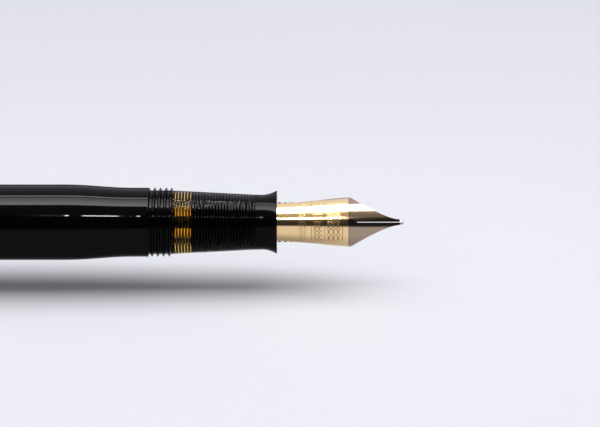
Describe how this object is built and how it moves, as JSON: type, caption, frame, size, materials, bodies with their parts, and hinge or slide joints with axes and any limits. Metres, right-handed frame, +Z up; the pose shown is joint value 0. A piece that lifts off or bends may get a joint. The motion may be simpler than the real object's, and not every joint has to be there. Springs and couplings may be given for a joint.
{
  "type": "fountain pen",
  "caption": "Lever-filling fountain pen with a ringed amber grip, two-tone nib and its cap posted on the tail.",
  "frame": {"origin": "on the pen's axis, at the shoulder behind the cap thread where the barrel's plain land ends", "axes": "+X along the pen towards the nib's tip, +Z up; the clip is at the lowest side and the nib's face is rolled 70 degrees from +Z towards -Y"},
  "size_m": [0.1526, 0.0126, 0.0161],
  "materials": {
    "black_barrel": "polished",
    "amber_plastic": "polished, transparent",
    "black_rings": "turned",
    "gold": "polished",
    "gold_plate": "polished plate",
    "tipping_metal": "ground",
    "black_ebonite": "satin",
    "latex": "matte",
    "steel": "plain",
    "liner": "satin"
  },
  "bodies": {
    "pen": {"barrel": "black_barrel", "grip_section": "amber_plastic", "section_rings": "black_rings", "section_lip": "black_rings", "nib": "gold", "nib_tipping": "tipping_metal", "feed": "black_ebonite", "ink_sac": "latex", "bar_spring": "steel", "lever_pin": "steel"},
    "lever": {"lever": "gold_plate"},
    "pressure_bar": {"pressure_bar": "steel", "bar_rivets": "steel"},
    "cap": {"cap_shell": "black_barrel", "inner_cap": "liner", "cap_crown": "black_barrel", "cap_band": "gold_plate", "clip_backing_plate": "steel"},
    "clip": {"clip": "gold_plate", "clip_ball": "gold_plate"}
  },
  "joints": [
    {"name": "lever_lift", "type": "hinge", "parent": "pen", "child": "lever", "pos_m": [-0.0314, -0.00442, 0.00161], "axis": [0, 0.342, 0.9397], "range_deg": [0, 85], "stiffness_Nm_per_rad": 0.002},
    {"name": "bar_swing", "type": "hinge", "parent": "pen", "child": "pressure_bar", "pos_m": [-0.062, -0.00338, 0.00123], "axis": [0, 0.342, 0.9397], "range_deg": [0, 7.4], "deforming": ["ink_sac", "bar_spring"]},
    {"name": "cap_pull", "type": "slide", "parent": "pen", "child": "cap", "axis": [-1, 0, 0], "range_m": [0, 0.045]},
    {"name": "clip_flex", "type": "hinge", "parent": "cap", "child": "clip", "pos_m": [-0.1036, 0, -0.0046], "axis": [0, 1, 0], "range_deg": [0, 3], "stiffness_Nm_per_rad": 1.1}
  ],
  "couplings": [
    {"joint": "bar_swing", "follows": "lever_lift", "ratio": 0.086}
  ]
}
